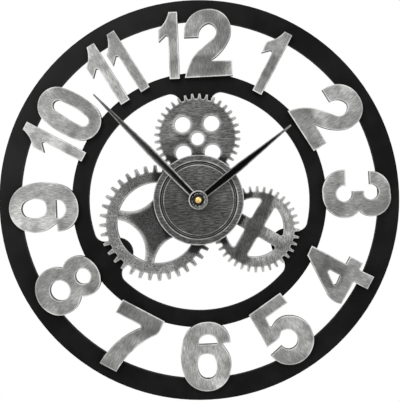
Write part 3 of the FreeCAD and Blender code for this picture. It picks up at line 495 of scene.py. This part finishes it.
def hand_root(paint, away, smudges):
    """A hand's round root: a black ring round the nut, a grey land with painted light, and two worn
    lines.
    """
    # painted light: the land is lighter to the lower right, and the outer worn line fainter there
    lit = paint.spread_mm(paint.dot(paint.place, LIT_LOWER_RIGHT), -HAND_LIGHT_HALF, HAND_LIGHT_HALF)
    ring = paint.blend(paint.spread(smudges, 0.42, 0.66), DEEP_BLACK, SMUDGED_BLACK)
    land = paint.grey(paint.product(lit, paint.spread(smudges, 0.35, 0.65, 0.06, 0.18)))
    root = paint.blend(paint.spread_mm(away, *HAND_RING_END), ring, land)
    inner = paint.product(paint.line(away, *HAND_INNER_LINE),
                          paint.spread(smudges, 0.4, 0.65, 0.0, 0.6))
    outer = paint.product(paint.line(away, *HAND_OUTER_LINE), paint.spread(lit, 0, 1, 1, 0.3))
    silver = paint.grey(paint.tone(smudges, *HAND_SILVER))
    return paint.blend(paint.math("MAXIMUM", inner, outer), root, silver)


def hand_paint(name, angle, length, silver_width, tip_silver, silver_share, haze):
    """A black hand with silver along both edges and at its tip, and a grey haze between.

    The angle is clockwise from 12 in degrees. Tip and share say how strong and how bright the
    silver is.
    """
    paint = Paint(name)
    patches = paint.noise((6, 6), 3.0, 0.6)
    smudges = paint.noise((1.7, 1.7), 3.0, 0.6)
    right, up = math.sin(math.radians(angle)), math.cos(math.radians(angle))
    across = paint.dot(paint.place, (up, 0, -right))
    share = paint.math("DIVIDE", paint.dot(paint.place, (right, 0, up)), length * MM)
    edge = paint.product(hand_edge(paint, share, across, silver_width),
                         paint.spread(patches, 0.32, 0.6, 0.55, 1.0),
                         paint.spread(share, *EDGE_SHARES, 1.0, tip_silver))
    tip = paint.product(paint.spread(share, *TIP_SHARES), tip_silver)
    spine = paint.product(paint.line(across, *SPINE_LINE),
                          paint.spread(share, *SPINE_SHARES, 0, SPINE_AMOUNT))
    hazy = paint.product(haze, paint.vary(smudges, 0.5), paint.spread(share, *HAZE_SHARES),
                         paint.spread_mm(across, -HAZE_HALF, HAZE_HALF, 1.2, 0.6),
                         paint.math("SUBTRACT", 1.0, spine))
    black_and_shade = paint.grey(paint.total(paint.spread(smudges, 0.5, 0.75, 0.0005, 0.004), hazy))
    dark, light = HAND_SILVER
    silver = paint.grey(paint.tone(smudges, dark * silver_share, light * silver_share))
    blade = paint.blend(paint.math("MAXIMUM", edge, tip), black_and_shade, silver)
    away = paint.away(DIAL_MIDDLE)
    face = paint.blend(paint.spread_mm(away, *HAND_ROOT_END), blade,
                       hand_root(paint, away, smudges))
    side = paint.grey(paint.tone(patches, 0.01, 0.05))
    colour = paint.blend(paint.facing(*FRONT_FACE), side, face)
    return paint.finish(colour, 0.45, metallic=0.15, height=patches, bump=0.05, rounding=0.3,
                        specular=0.03)


def plain_metal(name, colour, roughness, grain=(6, 0.2), dullness=0.25):
    """Machined metal with fine scratches along the dial's right and left."""
    paint = Paint(name)
    scratches = paint.noise(grain, 3.0, 0.7)
    clouds = paint.noise((4, 4), 2.0, 0.5)
    dull = tuple(value * (1 - dullness) for value in colour[:3]) + (1,)
    tone = paint.blend(paint.tone(clouds, 0.0, 1.0), dull, colour)
    tone = paint.blend(paint.product(paint.edge(0.3, 4.0), 0.4), tone, WORN_METAL)
    rough = paint.tone(scratches, roughness * 0.75, roughness * 1.3)
    return paint.finish(tone, rough, metallic=1.0, height=scratches, bump=0.03, rounding=0.15)


def moulded(name, colour, roughness=0.5):
    """Moulded plastic with a fine spark-eroded grain."""
    paint = Paint(name)
    grain = paint.noise((0.45, 0.45), 2.0, 0.6)
    clouds = paint.noise((15, 15), 3.0, 0.6)
    light = tuple(min(value * 1.5 + 0.01, 1) for value in colour[:3]) + (1,)
    tone = paint.blend(paint.spread(clouds, 0.35, 0.75), colour, light)
    tone = paint.blend(paint.product(paint.edge(0.5, 4.0), 0.35), tone, light)
    rough = paint.product(roughness, paint.vary(grain, 0.15))
    return paint.finish(tone, rough, height=grain, bump=0.06, rounding=0.4)


def battery_paint(name, battery):
    """A printed sleeve with a green band and two thin rings, and bright metal at both ends."""
    paint = Paint(name)
    minus, plus = battery[0][0] / MM, battery[1][0] / MM
    along = paint.parts(paint.place)["X"]
    scuffs = paint.noise((9, 1.2), 3.0, 0.6)
    clouds = paint.noise((7, 7), 2.0, 0.5)
    body = paint.grey(paint.tone(scuffs, 0.36, 0.46))
    green = paint.blend(clouds, DARK_GREEN, LIGHT_GREEN)
    band = paint.spread_mm(along, plus - BAND_LENGTH, plus - BAND_LENGTH + PRINT_SOFT)
    sleeve = paint.blend(band, body, green)
    rings = paint.math("MAXIMUM", paint.line(along, plus - BAND_RING, RING_HALF),
                       paint.line(along, minus + MINUS_RING, RING_HALF))
    sleeve = paint.blend(rings, sleeve, RING_INK)
    metal = paint.math(
        "MAXIMUM", paint.spread_mm(along, minus + MINUS_METAL, minus + MINUS_METAL - PRINT_SOFT),
        paint.spread_mm(along, plus - PLUS_METAL - PRINT_SOFT, plus - PLUS_METAL))
    colour = paint.blend(metal, sleeve, CAN_METAL)
    return paint.finish(colour, paint.tone(scuffs, 0.26, 0.38), metallic=metal, height=scuffs,
                        bump=0.03)


def cover_marks(paint, knob, low):
    """White marks on the back cover: a ring of strokes and a circle round the knob, a minus at
    one end of the battery, and a plus at the other."""
    sides = paint.parts(paint.place)
    turn = paint.math("ARCTAN2", paint.math("SUBTRACT", sides["Z"], knob[1] * MM),
                      paint.math("SUBTRACT", sides["X"], knob[0] * MM))
    strokes = paint.spread(paint.math("SINE", paint.product(turn, KNOB_STROKES)), 0.1, 0.4)
    away = paint.away(knob)
    marks = paint.product(paint.line(away, STROKES_RADIUS, STROKES_HALF), strokes)
    marks = paint.math("MAXIMUM", marks, paint.line(away, CIRCLE_RADIUS, CIRCLE_HALF))
    up = low + SIGN_ABOVE_LOW
    bars = [((right - SIGN_HALF, up), (right + SIGN_HALF, up)) for right in (-SIGN_OUT, SIGN_OUT)]
    bars.append(((SIGN_OUT, up - SIGN_HALF), (SIGN_OUT, up + SIGN_HALF)))
    for start, end in bars:
        marks = paint.math("MAXIMUM", marks, paint.zone(SIGN_THICK, SIGN_SOFT, start, end))
    return paint.product(marks, paint.facing(*BACK_FACE))


def cover_paint(name, knob, cover):
    """Black moulding with marks for the knob and the battery."""
    paint = Paint(name)
    grain = paint.noise((0.5, 0.5), 2.0, 0.6)
    clouds = paint.noise((13, 13), 3.0, 0.6)
    marks = cover_marks(paint, knob, cover[0][2] / MM)
    tone = paint.grey(paint.spread(clouds, 0.35, 0.75, 0.014, 0.026))
    tone = paint.blend(paint.product(paint.edge(0.5, 4.0), 0.4), tone, WORN_PLASTIC)
    ink = paint.product(marks, paint.spread(grain, 0.3, 0.5, 0.6, 0.95))
    tone = paint.blend(ink, tone, MARK_WHITE)
    height = paint.total(paint.product(grain, 0.4), marks)
    return paint.finish(tone, paint.tone(grain, 0.42, 0.58), height=height, bump=0.1, rounding=0.4)


# Turned pieces

def turned_mesh(profile, centre=DIAL_MIDDLE, ribs=0, rib_depth=0.0):
    """Turns a profile round an axis to the front: (radius, distance before the wall, ribbed)."""
    count = max(ribs * RIB_STEPS, ROUND_STEPS)
    mesh = bmesh.new()
    rings = []
    for radius, forward, ribbed in profile:
        ring = []
        for step in range(count if radius else 1):
            angle = math.tau * step / count
            wave = rib_depth * (0.5 + 0.5 * math.cos(ribs * angle)) if ribbed else 0
            right = centre[0] + (radius - wave) * math.cos(angle)
            up = centre[1] + (radius - wave) * math.sin(angle)
            ring.append(mesh.verts.new((right * MM, -forward * MM, up * MM)))
        rings.append(ring)
    for first, second in zip(rings, rings[1:]):
        for step in range(count):
            after = (step + 1) % count
            corners = [first[step % len(first)], first[after % len(first)],
                       second[after % len(second)], second[step % len(second)]]
            mesh.faces.new(list(dict.fromkeys(corners)))
    bmesh.ops.recalc_face_normals(mesh, faces=mesh.faces)
    return mesh


def add_piece(name, mesh, node, body, material, smooth):
    """Makes an object of a mesh, in place of a node, and lets it ride on a body."""
    data = bpy.data.meshes.new(name)
    mesh.to_mesh(data)
    mesh.free()
    for face in data.polygons:
        face.use_smooth = smooth
    data.materials.append(material)
    piece = bpy.data.objects.new(name, data)
    bpy.context.collection.objects.link(piece)
    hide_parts(node)
    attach(piece, body)


def add_cap_nut(brass):
    """A domed nut, bored from behind for the arbor's tip."""
    back = -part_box("cap_nut")[1][1] / MM
    mesh = turned_mesh([(radius, back + before, False) for radius, before in CAP_NUT_OUTLINE])
    add_piece("domed_cap_nut", mesh, "cap_nut", "minute", brass, True)


def knob_middle():
    """The setting knob's axis in the dial's plane."""
    low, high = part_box("setting_knob")
    return (low[0] + high[0]) / 2 / MM, (low[2] + high[2]) / 2 / MM


def add_knob(material):
    """The setting knob, ribbed round its edge and dished at the back."""
    low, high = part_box("setting_knob")
    back, front = -high[1] / MM, -low[1] / MM
    profile = [(0, back + 0.55, False), (0.8, back + 0.55, False), (1.1, back + 0.2, False),
               (1.5, back + 0.2, False), (1.8, back + 0.55, False), (3.2, back + 0.55, False),
               (3.6, back + 0.1, False), (3.8, back, False), (4.6, back, False),
               (5.0, back + 0.2, True), (5.0, front - 0.2, True), (4.7, front, False),
               (0, front, False)]
    mesh = turned_mesh(profile, knob_middle(), KNOB_RIBS, KNOB_RIB_DEPTH)
    add_piece("ribbed_knob", mesh, "setting_knob", "motion", material, False)


# The clock's nodes

def dress(node, material):
    """Gives a CAD node its material."""
    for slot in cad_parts[node].material_slots:
        slot.material = material


def numeral_silver():
    """The numerals, brushed along their height, with the photograph's dark and bright places."""
    # Shades, partly painted light: the brighter left side at 9, 10 and 11; the rest is uneven
    # silver.
    shades = [
        (1.4, 18, 14, (-165, -8), (-150, 90)), (1.3, 12, 12, (-94, 140), (-82, 130)),
        (0.55, 10, 10, (-78, -104), (-56, -124)), (0.68, 8, 10, (-106, -76), (-104, -72)),
        (0.55, 6, 9, (-4, 133), (26, 133)), (0.75, 8, 8, (24, 182), (30, 150)),
        (0.65, 8, 10, (98, 90), (112, 60)), (1.25, 10, 10, (140, 96), (158, 98)),
        (0.52, 12, 12, (110, -58), (124, -76)), (0.8, 4, 7, (182, -12), (170, -14)),
        (1.35, 8, 10, (2, -188), (-20, -150)), (0.7, 8, 8, (62, -116), (74, -106)),
        (1.25, 8, 10, (76, -132), (92, -142)), (0.68, 6, 9, (58, 102), (78, 130)),
        (0.78, 6, 8, (-24, 134), (-20, 184)), (1.4, 5, 8, (2, -154), (14, -178)),
        (1.35, 6, 9, (-182, -4), (-176, -14)), (1.4, 5, 8, (122, 60), (124, 76)),
        (0.74, 6, 8, (134, -12), (134, 4))]
    return brushed_board("silver_numerals", 0.243, (0.8, 9), 0.25, hourwise, shades=shades,
                         rim_level=0.6, patchy=0.32, speckle=0.24)


def top_wheel_silver():
    """The top wheel, rubbed bright with painted highlights round its five holes, and with painted
    shade by the hub cover.
    """
    # Shades: painted shade beside the hub cover, a narrow painted highlight, and uneven silver.
    shades = [(0.95, 8, 9, (-6, 90), (18, 90)), (0.62, 2, 6, (-14, 63), (-9, 74)),
              (0.7, 3, 8, (-30, 52), (-8, 55)), (1.25, 3, 7, (20, 62), (30, 60)),
              (1.4, 1, 4, (-25, 76), (-24, 66))]
    halos = [((LEFT_HOLES, UPPER_HOLES), HOLE_RADIUS, 4, 0.6),
             ((RIGHT_HOLES, UPPER_HOLES), HOLE_RADIUS, 4, 0.5),
             ((0.9, 61), MIDDLE_HOLE_RADIUS, 3.5, 0.5),
             ((LEFT_HOLES, LOWER_HOLES), HOLE_RADIUS, 3.5, 0.45),
             ((RIGHT_HOLES, LOWER_HOLES), HOLE_RADIUS, 3.5, 0.45)]
    # Black places: painted shade round the hub cover's foot.
    black_and_shade = [HUB_SHADE, (3.5, 4, (-29, 41), (-23, 39)), (3.5, 4, (23, 38), (29, 36))]
    return brushed_board("top_wheel_silver", 0.092, (7, 0.9), 0.45, shades=shades, halos=halos,
                         black_and_shade=black_and_shade, teeth=(TOP_WHEEL, TOP_ROOT))


def left_wheel_silver():
    """The left wheel, with painted shade in its middle beside the hub cover, and rubbed bright with
    painted highlights along its windows' arcs.
    """
    # Shades: painted shade beside the hub cover, a brighter far left and narrow painted highlights
    # as painted light, and uneven silver.
    shades = [(0.27, 9, 15, (-54, -14), (-38, -38)), (0.7, 6, 12, (-62, 14), (-46, 26)),
              (0.7, 5, 10, (-18, -62), (-6, -52)), (1.2, 6, 12, (-94, -12), (-82, -52)),
              (1.3, 1, 4, (-79, -58), (-62, -70)), (1.35, 1, 4, (-50, -72), (-30, -66))]
    halos = [((-69.8, 24.1), WINDOW_ARC, 4.5, 0.85), ((-87.9, -48.2), WINDOW_ARC, 4.5, 0.7),
             ((-15.6, -66.3), WINDOW_ARC, 3.5, 0.6)]
    # Black places: painted shade at the hub cover's foot.
    black_and_shade = [HUB_SHADE, (3, 8, (-39, 24), (-38, 33)), (3.5, 4, (-8, -48), (4, -47)),
            (1.5, 2.5, (-46.5, 2), (-33, -34))]
    return brushed_board("left_wheel_silver", 0.138, (2.2, 2.6), 0.35, shades=shades, halos=halos,
                         halo_reach=(LEFT_WHEEL, WINDOW_REACH), black_and_shade=black_and_shade,
                         teeth=(LEFT_WHEEL, LEFT_ROOT), speckle=0.4)


def right_wheel_silver():
    """The right wheel, with its broad bar dark, its right side bright as painted light, and painted
    shade beside the hub cover.
    """
    # Shades: painted light on the right side and in narrow highlights, painted shade beside the hub
    # cover, and the darker broad bar.
    shades = [(0.36, 5, 6, (68, 4), (41, -58)), (0.45, 5, 9, (30, -52), (20, -40)),
              (0.55, 3, 7, (50, 2), (46, -6)), (1.9, 3, 5, (70, -35), (84, -40)),
              (1.4, 3, 6, (90, -16), (92, -34)), (1.5, 1, 4, (57, -60), (74, -54)),
              (1.6, 0.8, 3, (80, -6), (86, -22))]
    # Black places: painted shade at the hub cover's foot.
    black_and_shade = [HUB_SHADE, (3, 3, (46, -2), (49, 5)), (3, 3, (36, -25), (41, -18)),
            (2.5, 3, (22, -42), (25, -39))]
    return brushed_board("right_wheel_silver", 0.15, (1.2, 4), 0.3, shades=shades, black_and_shade=black_and_shade,
                         teeth=(RIGHT_WHEEL, RIGHT_ROOT), speckle=0.22)


def dress_dial():
    """Gives rings, numerals, wheels, hub cover and hands their paints."""
    black = black_board("black_board")
    dress("outer_ring", black)
    dress("inner_ring", black)
    dress("numerals", numeral_silver())
    dress("top_wheel", top_wheel_silver())
    dress("left_wheel", left_wheel_silver())
    dress("right_wheel", right_wheel_silver())
    dress("hub_cover", hub_paint("hub_silver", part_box("hub_cover")))
    dress("hour_hand", hand_paint("hour_hand_silver", angle=53.35, length=116.1, silver_width=1.25,
                                  tip_silver=0.85, silver_share=0.6, haze=0.0))
    dress("minute_hand", hand_paint("minute_hand_silver", angle=-42.45, length=144.5,
                                    silver_width=1.6, tip_silver=0.4, silver_share=0.9,
                                    haze=0.035))


def dress_movement():
    """Gives the movement's nodes their materials, and adds its two turned pieces."""
    steel = plain_metal("steel", STEEL, 0.35)
    brass = plain_metal("brass", BRASS, 0.34, grain=(0.7, 0.7), dullness=0.5)
    black = moulded("black_plastic", BLACK_PLASTIC)
    white = moulded("white_plastic", WHITE_PLASTIC, 0.42)
    grey = moulded("grey_plastic", GREY_PLASTIC)
    for node in ("steel_washer", "hanger", "minute_arbor", "battery_contact_positive",
                 "battery_contact_negative"):
        dress(node, steel)
    dress("hex_nut", brass)
    add_cap_nut(brass)
    dress("movement_case", black)
    dress("back_cover", cover_paint("black_cover", knob_middle(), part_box("back_cover")))
    dress("motion_wheel", white)
    dress("hour_wheel", white)
    add_knob(grey)
    dress("battery", battery_paint("printed_sleeve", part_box("battery")))


# Stage, light and camera

def white_for_camera(tree, background):
    """Mixes white into what camera, glossy and transmission rays see of a background."""
    path = tree.nodes.new("ShaderNodeLightPath")
    seen = path.outputs["Is Camera Ray"]
    for kind in ("Is Glossy Ray", "Is Transmission Ray"):
        either = tree.nodes.new("ShaderNodeMath")
        either.operation = "MAXIMUM"
        tree.links.new(seen, either.inputs[0])
        tree.links.new(path.outputs[kind], either.inputs[1])
        seen = either.outputs[0]
    plain = tree.nodes.new("ShaderNodeBackground")
    plain.inputs["Color"].default_value = WHITE
    mixer = tree.nodes.new("ShaderNodeMixShader")
    for socket, source in zip(mixer.inputs, (seen, background.outputs[0], plain.outputs[0])):
        tree.links.new(source, socket)
    return mixer


def light_world():
    """Even light from all round, behind a background that looks white."""
    world = bpy.data.worlds.new("studio")
    bpy.context.scene.world = world
    world.use_nodes = True
    tree = world.node_tree
    ambient = tree.nodes["Background"]
    ambient.inputs["Color"].default_value = WHITE
    ambient.inputs["Strength"].default_value = AMBIENT_STRENGTH
    mixer = white_for_camera(tree, ambient)
    tree.links.new(mixer.outputs[0], tree.nodes["World Output"].inputs["Surface"])


def add_lamp(name, place, size, watts):
    """A square lamp that looks at the dial's middle."""
    lamp = bpy.data.lights.new(name, "AREA")
    lamp.size = size
    lamp.energy = watts
    thing = bpy.data.objects.new(name, lamp)
    bpy.context.collection.objects.link(thing)
    thing.location = place
    thing.rotation_euler = Vector(place).to_track_quat("Z", "Y").to_euler()


def add_floor():
    """A white floor below the clock."""
    low = CAD_BOX[0][2] - FLOOR_DROP
    corners = [(-FLOOR_HALF, -FLOOR_HALF, low), (FLOOR_HALF, -FLOOR_HALF, low),
               (FLOOR_HALF, FLOOR_HALF, low), (-FLOOR_HALF, FLOOR_HALF, low)]
    mesh = bpy.data.meshes.new("floor")
    mesh.from_pydata(corners, [], [(0, 1, 2, 3)])
    floor = bpy.data.objects.new("floor", mesh)
    bpy.context.collection.objects.link(floor)
    paint = Paint("floor_white")
    grain = paint.noise((8, 8), 2.0, 0.5)
    mesh.materials.append(paint.finish(paint.grey(paint.tone(grain, 0.84, 0.87)), 0.7))


def add_camera():
    """The photograph's camera, level and square to the dial, and turned as the dial hangs."""
    data = bpy.data.cameras.new("photo_camera")
    camera = bpy.data.objects.new("photo_camera", data)
    bpy.context.collection.objects.link(camera)
    camera.location = (CAMERA_RIGHT, -RING_FRONT - CAMERA_DISTANCE, 0)
    look = Euler((math.radians(90), 0, 0)).to_matrix() @ Matrix.Rotation(-DIAL_TURN, 3, "Z")
    camera.rotation_euler = look.to_euler()
    width = PHOTO_SIZE[0] * MM
    data.sensor_fit = "HORIZONTAL"
    data.sensor_width = SENSOR_WIDTH
    data.lens = SENSOR_WIDTH * CAMERA_DISTANCE / width
    beside = Vector((-CAMERA_RIGHT, 0, 0)) @ look
    data.shift_x = (beside.x - (DIAL_PIXEL[0] - PHOTO_SIZE[0] / 2) * MM) / width
    data.shift_y = (beside.y - (PHOTO_SIZE[1] / 2 - DIAL_PIXEL[1]) * MM) / width
    bpy.context.scene.camera = camera


def main():
    """Dresses the clock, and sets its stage."""
    dress_dial()
    dress_movement()
    light_world()
    for lamp in LAMPS:
        add_lamp(*lamp)
    add_floor()
    add_camera()
    bpy.context.scene.view_settings.view_transform = "Standard"


main()
